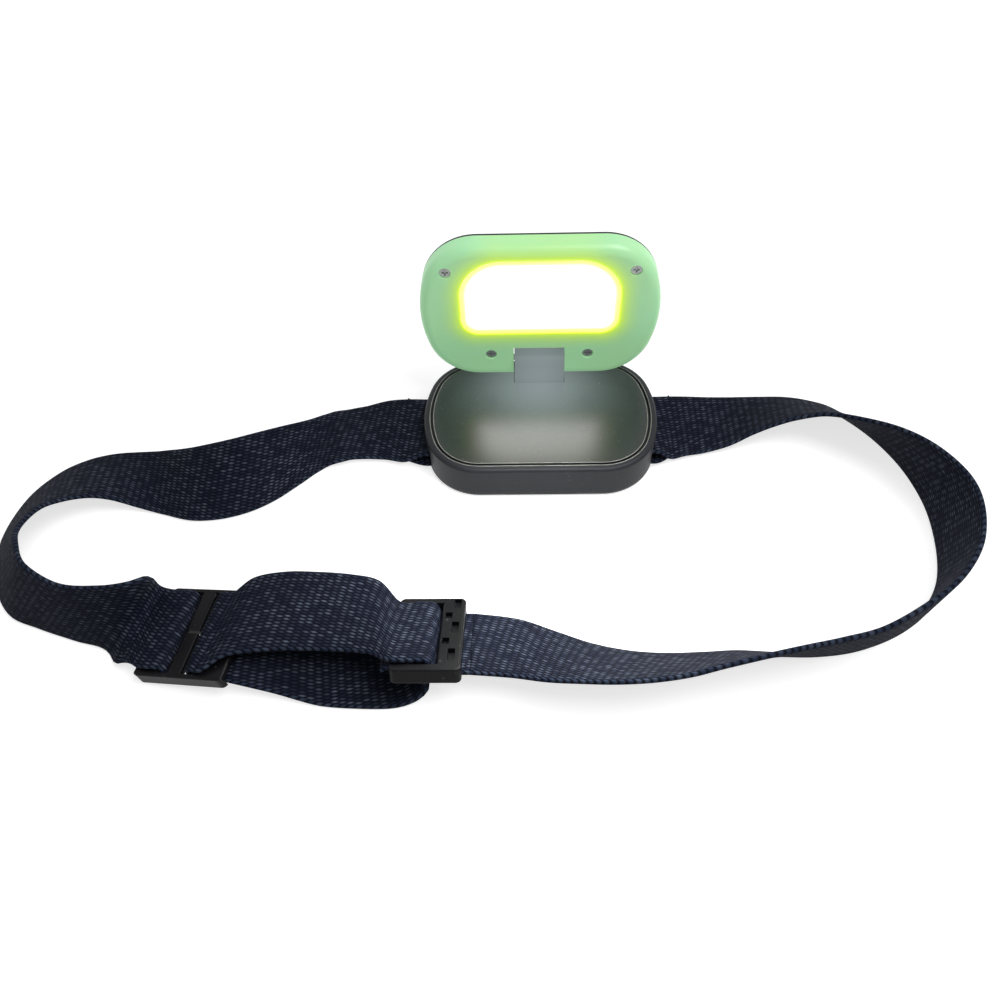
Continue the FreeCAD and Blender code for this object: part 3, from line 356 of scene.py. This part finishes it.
class Nodes:
    """Short calls for building one material's node tree."""

    def __init__(self, name):
        self.material = bpy.data.materials.new(name)
        self.material.use_nodes = True
        self.tree = self.material.node_tree
        self.shader = self.tree.nodes["Principled BSDF"]

    def add(self, kind, **inputs):
        node = self.tree.nodes.new(kind)
        for key, value in inputs.items():
            self.put(node.inputs[key.replace("_", " ")], value)
        return node

    def put(self, socket, value):
        if isinstance(value, bpy.types.NodeSocket):
            self.tree.links.new(value, socket)
        else:
            socket.default_value = value

    def shade(self, **inputs):
        for key, value in inputs.items():
            self.put(self.shader.inputs[key.replace("_", " ")], value)

    def math(self, operation, a, b=0.5, c=0.5):
        node = self.tree.nodes.new("ShaderNodeMath")
        node.operation = operation
        for socket, value in zip(node.inputs, (a, b, c)):
            self.put(socket, value)
        return node.outputs[0]

    def place(self, output="Object"):
        return self.tree.nodes.new("ShaderNodeTexCoord").outputs[output]

    def noise(self, vector, scale, detail=2.0, roughness=0.5):
        node = self.add("ShaderNodeTexNoise", Vector=vector, Scale=scale, Detail=detail, Roughness=roughness)
        return node.outputs["Fac"]

    def ramp(self, fac, stops):
        node = self.tree.nodes.new("ShaderNodeValToRGB")
        self.put(node.inputs["Fac"], fac)
        elements = node.color_ramp.elements
        while len(elements) < len(stops):
            elements.new(0.5)
        for element, (position, colour) in zip(elements, stops):
            element.position = position
            element.color = (*colour, 1.0)
        return node.outputs["Color"]

    def mix(self, fac, a, b):
        node = self.tree.nodes.new("ShaderNodeMix")
        node.data_type = "RGBA"
        self.put(node.inputs[0], fac)
        for socket, value in ((node.inputs[6], a), (node.inputs[7], b)):
            self.put(socket, value if isinstance(value, bpy.types.NodeSocket) else (*value, 1.0))
        return node.outputs[2]

    def bump(self, height, strength, distance):
        node = self.add("ShaderNodeBump", Height=height, Strength=strength, Distance=distance)
        self.put(self.shader.inputs["Normal"], node.outputs["Normal"])

    def split(self, vector):
        node = self.add("ShaderNodeSeparateXYZ", Vector=vector)
        return node.outputs


# Colours are linear; sizes in the materials are in metres
# The darkest webbing colour is painted shade, for the gaps between stitches.
WEB_STITCH_SHADE = (0.0018, 0.0023, 0.006)
WEB_YARN = (0.010, 0.013, 0.026)
WEB_FLECK = (0.080, 0.095, 0.130)
# Painted highlight colour for the webbing's edges.
WEB_EDGE_HIGHLIGHT = (0.03, 0.045, 0.08)
RIB_PITCH = 0.00098
STITCH_PITCH = 0.0021
ROW_SHIFT = 0.37
STITCH_SLANT = 0.55
EDGE_TICKS_FROM = 0.0117
CASE_BLACK = ((0.011, 0.012, 0.015), (0.018, 0.020, 0.024))
FACE_BLACK = ((0.013, 0.015, 0.016), (0.024, 0.027, 0.028))
BUCKLE_BLACK = ((0.003, 0.003, 0.004), (0.007, 0.007, 0.008))
SWITCH_BLACK = ((0.03, 0.03, 0.03), (0.05, 0.05, 0.05))
WINDOW_UPPER_RADIUS = 0.013
WINDOW_LOWER_RADIUS = 0.0057
SPILL_CENTRE = (0.0, 0.0125, 0.0165)
SPILL_REACH = 0.019
SPILL_HEIGHT = (0.0118, 0.013)
SPILL_DEPTH = (0.0225, 0.0195)
SPILL_POWER = 0.30
BEZEL_GREEN = (0.31, 0.56, 0.27)
BEZEL_MINT = (0.27, 0.57, 0.33)
BEZEL_GLOW_REACH = 0.0075
BEZEL_POWER = 0.53
BEZEL_RIM_POWER = 0.35
GLOW_YELLOW = (0.50, 0.72, 0.02)
LENS_RIM = 0.006
LENS_RIM_POWER = 0.85
LENS_MIDDLE_POWER = 6.0
TRACK_PITCH = 0.0022
BUTTON_RING_RADIUS = 0.0031
BUTTON_RING_HALF_WIDTH = 0.0004
CELL_END_FROM = 0.0208
CELL_BAND_FROM = 0.0125


def webbing_material():
    """Narrow woven elastic: ribs along the strap, slanted stitches in them, some of pale yarn, with painted
    shade in the gaps between stitches and a painted bluish highlight ticked along both edges.
    """
    n = Nodes("webbing")
    across, along, _ = n.split(n.place("UV"))
    rib = n.math("DIVIDE", across, RIB_PITCH)
    row = n.math("FLOOR", rib)
    in_rib = n.math("PINGPONG", rib, 0.5)
    shift = n.math("MULTIPLY", row, ROW_SHIFT)
    slant = n.math("MULTIPLY", rib, STITCH_SLANT)
    stitch = n.math("ADD", n.math("DIVIDE", along, STITCH_PITCH), n.math("ADD", shift, slant))
    in_stitch = n.math("PINGPONG", stitch, 0.5)
    dome = n.math("MULTIPLY", n.math("SINE", n.math("MULTIPLY", in_rib, math.pi)),
                  n.math("SINE", n.math("MULTIPLY", in_stitch, math.pi)))
    cell = n.add("ShaderNodeCombineXYZ", X=row, Y=n.math("FLOOR", stitch), Z=0.0)
    pick = n.add("ShaderNodeTexWhiteNoise", Vector=cell.outputs[0])
    cloud = n.noise(n.place(), 60.0, 3.0)
    pale = n.math("POWER", pick.outputs["Value"], 1.6)
    fleck = n.math("MULTIPLY", n.math("POWER", dome, 2.0), n.math("MULTIPLY", pale, cloud))
    # Painted shade: each stitch is darker from its crown into the gaps between stitches.
    shaded_yarn = n.mix(dome, WEB_STITCH_SHADE, WEB_YARN)
    body = n.mix(n.math("MINIMUM", n.math("MULTIPLY", fleck, 1.8), 1.0), shaded_yarn, WEB_FLECK)
    # Painted highlight: bluish ticks along both edges, where the selvedge catches the light.
    edge = n.math("GREATER_THAN", n.math("ABSOLUTE", across), EDGE_TICKS_FROM)
    edge_highlight_ticks = n.math("MULTIPLY", edge, n.math("GREATER_THAN", in_stitch, 0.22))
    colour = n.mix(n.math("MULTIPLY", edge_highlight_ticks, 0.35), body, WEB_EDGE_HIGHLIGHT)
    n.shade(Base_Color=colour, Roughness=0.78)
    n.shader.inputs["Specular IOR Level"].default_value = 0.06
    n.bump(dome, 0.7, 0.0003)
    return n.material


def spill_of_light(n, place):
    """How strongly the lit panel glows on the plastic below it: 1 at the hinge, fading with distance."""
    offset = n.add("ShaderNodeVectorMath", Vector=place)
    offset.operation = "DISTANCE"
    offset.inputs[1].default_value = SPILL_CENTRE
    fade = n.math("DIVIDE", offset.outputs["Value"], SPILL_REACH)
    glow = n.math("EXPONENT", n.math("MULTIPLY", n.math("POWER", fade, 2.0), -1.0))
    _, depth, height = n.split(place)
    upper = n.add("ShaderNodeMapRange", Value=height, From_Min=SPILL_HEIGHT[0], From_Max=SPILL_HEIGHT[1])
    front = n.add("ShaderNodeMapRange", Value=depth, From_Min=SPILL_DEPTH[0], From_Max=SPILL_DEPTH[1])
    return n.math("MULTIPLY", glow, n.math("MULTIPLY", upper.outputs["Result"], front.outputs["Result"]))


def case_material(name, colours, roughness, grain, specular=0.5, spill=0.0):
    """Moulded plastic with a fine spark-eroded grain, faint wear and small specks."""
    n = Nodes(name)
    colour, lighter = colours
    place = n.place()
    cloud = n.noise(place, 45.0, 3.0)
    fine = n.noise(place, 3200.0, 2.0, 0.6)
    specks = n.math("GREATER_THAN", n.noise(place, 900.0, 1.0), 0.74)
    base = n.mix(n.math("MULTIPLY", cloud, 0.5), colour, lighter)
    n.shade(Base_Color=n.mix(n.math("MULTIPLY", specks, 0.25), base, (0.12, 0.12, 0.12)))
    n.shade(Roughness=n.math("ADD", roughness, n.math("MULTIPLY", cloud, 0.12)))
    n.shader.inputs["Specular IOR Level"].default_value = specular
    if spill:
        n.shade(Emission_Color=n.mix(cloud, (0.80, 0.98, 0.98), (0.72, 0.86, 0.88)))
        n.shade(Emission_Strength=n.math("MULTIPLY", spill_of_light(n, place), spill))
    n.bump(fine, grain, 0.00006)
    return n.material


def lens_limits():
    """The lit window's low and high corners: the lens without its hidden lip."""
    low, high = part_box("light_lens")
    inset = Vector((LENS_INSET * MM, 0.0, LENS_INSET * MM))
    return low + inset, high - inset


def past_corner_centre(n, value, low, high, radius):
    """How far a coordinate lies beyond the centres of the window's corners, or 0."""
    from_middle = n.math("ABSOLUTE", n.math("SUBTRACT", value, (low + high) / 2))
    reach = n.math("SUBTRACT", (high - low) / 2, radius)
    return n.math("MAXIMUM", n.math("SUBTRACT", from_middle, reach), 0.0)


def window_distance(n):
    """Distance in metres from the lit window's outline, a box with round corners: below 0 inside."""
    low, high = lens_limits()
    x, _, z = n.split(n.place())
    upper = n.math("GREATER_THAN", z, (low.z + high.z) / 2)
    more = n.math("MULTIPLY", upper, WINDOW_UPPER_RADIUS - WINDOW_LOWER_RADIUS)
    radius = n.math("ADD", WINDOW_LOWER_RADIUS, more)
    past_x = past_corner_centre(n, x, low.x, high.x, radius)
    past_z = past_corner_centre(n, z, low.z, high.z, radius)
    outside = n.math("SQRT", n.math("ADD", n.math("POWER", past_x, 2.0), n.math("POWER", past_z, 2.0)))
    return n.math("SUBTRACT", outside, radius)


def bezel_material():
    """Milky green plastic that is lit from inside and yellower towards the window."""
    n = Nodes("bezel_green")
    place = n.place()
    distance = window_distance(n)
    faded = n.math("DIVIDE", distance, BEZEL_GLOW_REACH)
    near = n.math("MAXIMUM", n.math("SUBTRACT", 1.0, faded), 0.0)
    glow = n.math("POWER", near, 2.2)
    cloud = n.noise(place, 55.0, 2.0)
    body = n.mix(cloud, BEZEL_GREEN, BEZEL_MINT)
    colour = n.mix(n.math("MULTIPLY", glow, 0.95), body, GLOW_YELLOW)
    fine = n.noise(place, 2200.0, 2.0)
    n.shade(Base_Color=colour, Emission_Color=colour, Roughness=0.38)
    rim = n.math("MULTIPLY", n.math("POWER", near, 6.0), BEZEL_RIM_POWER)
    n.shade(Emission_Strength=n.math("ADD", BEZEL_POWER, rim))
    n.shader.inputs["Subsurface Weight"].default_value = 0.2
    n.shader.inputs["Subsurface Scale"].default_value = 0.002
    n.bump(fine, 0.12, 0.00005)
    return n.material


def lens_material():
    """The lit window: white in the middle, yellow and yellow-green at its rim."""
    n = Nodes("lens_lit")
    distance = n.math("MULTIPLY", window_distance(n), -1.0)
    inward = n.math("MINIMUM", n.math("DIVIDE", distance, LENS_RIM), 1.0)
    colour = n.ramp(inward, [(0.0, (0.50, 0.76, 0.0)), (0.16, (0.80, 0.92, 0.0)),
                             (0.27, (1.0, 1.0, 0.2)), (0.36, (1.0, 1.0, 0.9))])
    middle = n.math("MULTIPLY", n.math("POWER", inward, 2.0), LENS_MIDDLE_POWER)
    power = n.math("ADD", LENS_RIM_POWER, middle)
    n.shade(Base_Color=(0.9, 0.9, 0.8, 1.0), Emission_Color=colour, Emission_Strength=power, Roughness=0.3)
    fine = n.noise(n.place(), 1800.0, 1.0)
    n.bump(fine, 0.05, 0.00005)
    return n.material


def metal_material(name, colour, roughness):
    """Plated steel with fine scratches and a little tarnish."""
    n = Nodes(name)
    stretched = n.add("ShaderNodeMapping", Vector=n.place())
    stretched.inputs["Scale"].default_value = (1.0, 8.0, 1.0)
    scratches = n.noise(stretched.outputs[0], 700.0, 4.0, 0.6)
    cloud = n.noise(n.place(), 120.0, 2.0)
    n.shade(Base_Color=n.mix(cloud, colour, tuple(c * 0.72 for c in colour)), Metallic=1.0)
    n.shade(Roughness=n.math("ADD", roughness, n.math("MULTIPLY", scratches, 0.25)))
    n.bump(scratches, 0.15, 0.00005)
    return n.material


def board_material(name, mask, track):
    """A circuit board: solder mask over tracks, with small pale pads."""
    n = Nodes(name)
    place = n.place()
    x, _, z = n.split(place)
    slanted = n.math("DIVIDE", n.math("ADD", x, z), TRACK_PITCH)
    lines = n.math("GREATER_THAN", n.math("PINGPONG", slanted, 0.5), 0.36)
    spots = n.add("ShaderNodeTexVoronoi", Vector=place, Scale=420.0)
    pads = n.math("LESS_THAN", spots.outputs["Distance"], 0.22)
    colour = n.mix(n.math("MULTIPLY", pads, 0.7), n.mix(lines, mask, track), (0.75, 0.76, 0.72))
    n.shade(Base_Color=colour, Roughness=0.35)
    n.bump(n.math("ADD", lines, pads), 0.3, 0.00008)
    return n.material


def phosphor_material():
    """Yellow phosphor over the emitters, with a granular surface."""
    n = Nodes("phosphor_yellow")
    grains = n.noise(n.place(), 1500.0, 3.0)
    colour = n.mix(grains, (0.95, 0.72, 0.05), (1.0, 0.86, 0.22))
    n.shade(Base_Color=colour, Roughness=0.7, Emission_Color=colour)
    n.shader.inputs["Emission Strength"].default_value = 0.5
    n.bump(grains, 0.4, 0.0001)
    return n.material


def rubber_material():
    """Soft-touch button rubber with a raised ring and fine grain."""
    n = Nodes("button_rubber")
    place = n.place()
    x, _, z = n.split(place)
    low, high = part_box("push_button")
    dx = n.math("SUBTRACT", x, (low.x + high.x) / 2)
    dz = n.math("SUBTRACT", z, (low.z + high.z) / 2)
    radius = n.math("SQRT", n.math("ADD", n.math("POWER", dx, 2.0), n.math("POWER", dz, 2.0)))
    from_ring = n.math("ABSOLUTE", n.math("SUBTRACT", radius, BUTTON_RING_RADIUS))
    ring = n.math("LESS_THAN", from_ring, BUTTON_RING_HALF_WIDTH)
    fine = n.noise(place, 1600.0, 2.0)
    n.shade(Base_Color=n.mix(fine, (0.02, 0.02, 0.022), (0.035, 0.037, 0.04)), Roughness=0.62)
    n.bump(n.math("ADD", n.math("MULTIPLY", fine, 0.35), ring), 0.5, 0.0002)
    return n.material


def cell_material():
    """A cell's sleeve: plain dark wrap, a pale band and bare metal ends."""
    n = Nodes("cell_sleeve")
    place = n.place()
    x, _, _ = n.split(place)
    ends = n.math("GREATER_THAN", n.math("ABSOLUTE", x), CELL_END_FROM)
    band = n.math("GREATER_THAN", x, CELL_BAND_FROM)
    cloud = n.noise(place, 300.0, 3.0)
    sleeve = n.mix(band, (0.03, 0.035, 0.04), (0.42, 0.30, 0.14))
    rubbed = n.mix(n.math("MULTIPLY", cloud, 0.3), sleeve, (0.2, 0.2, 0.2))
    colour = n.mix(ends, rubbed, (0.7, 0.7, 0.68))
    n.shade(Base_Color=colour, Metallic=ends, Roughness=n.math("ADD", 0.25, n.math("MULTIPLY", cloud, 0.2)))
    n.bump(cloud, 0.1, 0.00005)
    return n.material


def dress(name, material):
    """Give a CAD node its only material."""
    mesh = nodes[name].data
    mesh.materials.clear()
    mesh.materials.append(material)


def dress_nodes():
    """Every CAD node gets its finish; the ones that no view shows get theirs too."""
    case = case_material("case_black", CASE_BLACK, 0.40, 0.35, specular=0.18, spill=SPILL_POWER)
    back = case_material("panel_black", CASE_BLACK, 0.40, 0.35, specular=0.18)
    face = case_material("face_black", FACE_BLACK, 0.15, 0.30, spill=SPILL_POWER)
    buckle = case_material("buckle_black", BUCKLE_BLACK, 0.30, 0.45, specular=0.10)
    switch = case_material("switch_black", SWITCH_BLACK, 0.4, 0.3)
    steel = metal_material("steel", (0.60, 0.60, 0.58), 0.28)
    screw = metal_material("screw_grey", (0.42, 0.44, 0.43), 0.42)
    board = board_material("board_green", (0.02, 0.15, 0.06), (0.04, 0.24, 0.10))
    bezel = bezel_material()
    finishes = {
        "base_shell": case, "rear_cover": back, "face_plate": face,
        "contact_springs": steel, "contact_plate_left": steel, "contact_plate_right": steel,
        "strap_pins": steel, "hinge_pin": steel, "panel_screws": screw,
        "light_bezel": bezel, "light_lens": lens_material(), "light_phosphor": phosphor_material(),
        "light_board": board_material("board_white", (0.72, 0.73, 0.70), (0.60, 0.62, 0.60)),
        "heat_spreader": metal_material("spreader", (0.75, 0.76, 0.78), 0.35),
        "driver_board": board, "switch_body": switch, "push_button": rubber_material(),
        "panel_rear": back, "connector_buckle": buckle, "adjuster_buckle": buckle,
    }
    for name, material in finishes.items():
        dress(name, material)
    cell = cell_material()
    for name in sorted(nodes):
        if name.startswith("battery_cell"):
            dress(name, cell)


# Rounded edges of the groove round the case's face

def outline(inset, arc_steps=14):
    """The case's outline, drawn in by an inset: straight long sides, round corners and bulged ends."""
    side = CASE_SIDE_RADIUS - inset
    corner = CASE_CORNER_RADIUS - inset
    corner_y = CASE_HALF_WIDTH - inset - corner
    side_x = CASE_HALF_LENGTH - inset - side
    corner_x = side_x + math.sqrt((side - corner) ** 2 - corner_y ** 2)
    lean = math.atan2(corner_y, corner_x - side_x)
    quarter = []
    for step in range(arc_steps):
        angle = lean * step / arc_steps
        quarter.append((side_x + side * math.cos(angle), side * math.sin(angle)))
    for step in range(arc_steps + 1):
        angle = lean + (math.pi / 2 - lean) * step / arc_steps
        quarter.append((corner_x + corner * math.cos(angle), corner_y + corner * math.sin(angle)))
    half = quarter + [(-x, y) for x, y in reversed(quarter)]
    return half + [(x, -y) for x, y in reversed(half[1:-1])]


def edge_bead(name, inset, z, material):
    """A thin rounded edge that follows the outline."""
    curve = bpy.data.curves.new(name, "CURVE")
    curve.dimensions = "3D"
    curve.bevel_depth = EDGE_BEAD_RADIUS * MM
    curve.bevel_resolution = 3
    points = outline(inset)
    spline = curve.splines.new("POLY")
    spline.points.add(len(points) - 1)
    for point, (x, y) in zip(spline.points, points):
        point.co = (x * MM, y * MM, z * MM, 1.0)
    spline.use_cyclic_u = True
    drawn = bpy.data.objects.new(name, curve)
    mesh = bpy.data.meshes.new_from_object(drawn)
    bpy.data.objects.remove(drawn)
    mesh.materials.clear()
    mesh.materials.append(material)
    mesh.polygons.foreach_set("use_smooth", [True] * len(mesh.polygons))
    bead = bpy.data.objects.new(name, mesh)
    bpy.context.scene.collection.objects.link(bead)
    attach(bead, "case")


def build_edges():
    """The groove's two rounded edges, in a light colour that paints their highlight on the black face."""
    n = Nodes("painted_highlight_edge")
    edge_mottle = n.noise(n.place(), 260.0, 3.0)
    # Painted highlight: the beads are much lighter than the black face, so they read as bright edges.
    n.shade(Base_Color=n.mix(edge_mottle, (0.10, 0.10, 0.095), (0.30, 0.29, 0.26)))
    n.shade(Roughness=n.math("ADD", 0.12, n.math("MULTIPLY", edge_mottle, 0.2)))
    n.bump(edge_mottle, 0.1, 0.00003)
    height = FACE_Z - EDGE_BEAD_RADIUS * EDGE_BEAD_SINK
    edge_bead("rim_edge", RIM_INSET - EDGE_BEAD_RADIUS, height, n.material)
    edge_bead("plate_edge", PLATE_INSET + EDGE_BEAD_RADIUS, height, n.material)


# Straps

def run_lines(run):
    return [edge_pair(first, second) for first, second in run]


def build_straps():
    """The left strap, and the other length of webbing in three spans that meet inside the buckles."""
    weave = webbing_material()
    left_wrap = connector_wrap(CONNECTOR_LEFT_EDGE, 1, CONNECTOR_LEFT_REACH)
    right_wrap = connector_wrap(CONNECTOR_RIGHT_EDGE, -1, CONNECTOR_RIGHT_REACH)
    left_end = buckle_lines(connector_matrix(), left_wrap, -1)
    turned = buckle_lines(connector_matrix(), right_wrap, 1)
    rise = buckle_lines(adjuster_matrix(), adjuster_rise(), 1)
    loop = buckle_lines(adjuster_matrix(), adjuster_loop(), 1)
    spans = {
        "strap_left": lamp_wrap(-1, LEFT_RUN) + run_lines(LEFT_RUN) + left_end,
        "strap_right": lamp_wrap(1, RIGHT_RUN) + run_lines(RIGHT_RUN) + rise[:1],
        "strap_upper": rise + run_lines(UPPER_LAYER) + turned,
        "strap_lower": turned[-1:] + run_lines(LOWER_LAYER) + loop,
    }
    for name, pairs in spans.items():
        piece, length = webbing("webbing_" + name, pairs)
        piece.data.materials.append(weave)
        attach(piece, "case")
        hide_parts(name)
        print(name, "length", round(length, 4))


# Stage, light and camera

def make_floor():
    """A white table that takes a soft shadow near the part and blends into the white world."""
    mesh = bpy.data.meshes.new("floor")
    size = FLOOR_HALF_SIZE
    corners = [(-size, -size, 0), (size, -size, 0), (size, size, 0), (-size, size, 0)]
    mesh.from_pydata(corners, [], [(0, 1, 2, 3)])
    floor = bpy.data.objects.new("floor", mesh)
    bpy.context.scene.collection.objects.link(floor)
    n = Nodes("floor_white")
    grey = (FLOOR_GREY, FLOOR_GREY, FLOOR_GREY, 1.0)
    n.shade(Base_Color=grey, Roughness=0.9, Emission_Color=(1.0, 1.0, 1.0, 1.0))
    n.shader.inputs["Specular IOR Level"].default_value = 0.05
    away = n.add("ShaderNodeVectorMath", Vector=n.place())
    away.operation = "LENGTH"
    fade = n.add("ShaderNodeMapRange", Value=away.outputs["Value"])
    fade.interpolation_type = "SMOOTHSTEP"
    for name, value in FLOOR_GLOW:
        fade.inputs[name].default_value = value
    n.shade(Emission_Strength=n.math("MULTIPLY", seen_directly(n.tree), fade.outputs["Result"]))
    mesh.materials.append(n.material)


def seen_directly(tree):
    """1 where the camera sees a surface, by itself or in a reflection or through a clear piece."""
    path = tree.nodes.new("ShaderNodeLightPath")
    total = path.outputs["Is Camera Ray"]
    for name in ("Is Glossy Ray", "Is Transmission Ray"):
        node = tree.nodes.new("ShaderNodeMath")
        node.operation = "MAXIMUM"
        tree.links.new(total, node.inputs[0])
        tree.links.new(path.outputs[name], node.inputs[1])
        total = node.outputs[0]
    return total


def add_light(name, place, target, size, power):
    """A rectangular light at a place, facing its target."""
    data = bpy.data.lights.new(name, "AREA")
    data.shape = "RECTANGLE"
    data.size, data.size_y = size
    data.energy = power
    light = bpy.data.objects.new(name, data)
    light.location = place
    light.rotation_mode = "QUATERNION"
    light.rotation_quaternion = (Vector(target) - Vector(place)).to_track_quat("-Z", "Y")
    bpy.context.scene.collection.objects.link(light)


def make_light():
    """A world that is seen as white but lights weakly, a key light and one low over the near strap."""
    world = bpy.data.worlds.new("studio")
    world.use_nodes = True
    background = world.node_tree.nodes["Background"]
    background.inputs["Color"].default_value = (1.0, 1.0, 1.0, 1.0)
    strength = world.node_tree.nodes.new("ShaderNodeMapRange")
    strength.inputs["To Min"].default_value = WORLD_LIGHT
    strength.inputs["To Max"].default_value = WORLD_SEEN
    world.node_tree.links.new(seen_directly(world.node_tree), strength.inputs["Value"])
    world.node_tree.links.new(strength.outputs["Result"], background.inputs["Strength"])
    bpy.context.scene.world = world
    add_light("key", KEY_PLACE, KEY_TARGET, KEY_SIZE, KEY_POWER)
    add_light("near_strap", STRAP_LIGHT_PLACE, STRAP_LIGHT_TARGET, STRAP_LIGHT_SIZE, STRAP_LIGHT_POWER)


def make_camera():
    """The photograph's camera, from its azimuth, elevation and roll in degrees."""
    azimuth = math.radians(CAMERA_AZIMUTH)
    elevation = math.radians(CAMERA_ELEVATION)
    roll = math.radians(CAMERA_ROLL)
    flat = math.cos(elevation)
    back = Vector((math.sin(azimuth) * flat, -math.cos(azimuth) * flat, math.sin(elevation)))
    level = (-back).cross(Vector((0, 0, 1))).normalized()
    upright = level.cross(-back)
    right = math.cos(roll) * level + math.sin(roll) * upright
    up = math.cos(roll) * upright - math.sin(roll) * level
    data = bpy.data.cameras.new("camera")
    data.sensor_width = CAMERA_SENSOR
    data.lens = CAMERA_LENS
    data.clip_start = 0.01
    camera = bpy.data.objects.new("camera", data)
    facing = Matrix((right, up, back)).transposed().to_4x4()
    camera.matrix_world = Matrix.Translation(Vector(CAMERA_PLACE) * MM) @ facing
    bpy.context.scene.collection.objects.link(camera)
    bpy.context.scene.camera = camera


dress_nodes()
build_edges()
build_straps()
make_floor()
make_light()
make_camera()
bpy.context.scene.view_settings.view_transform = "Standard"
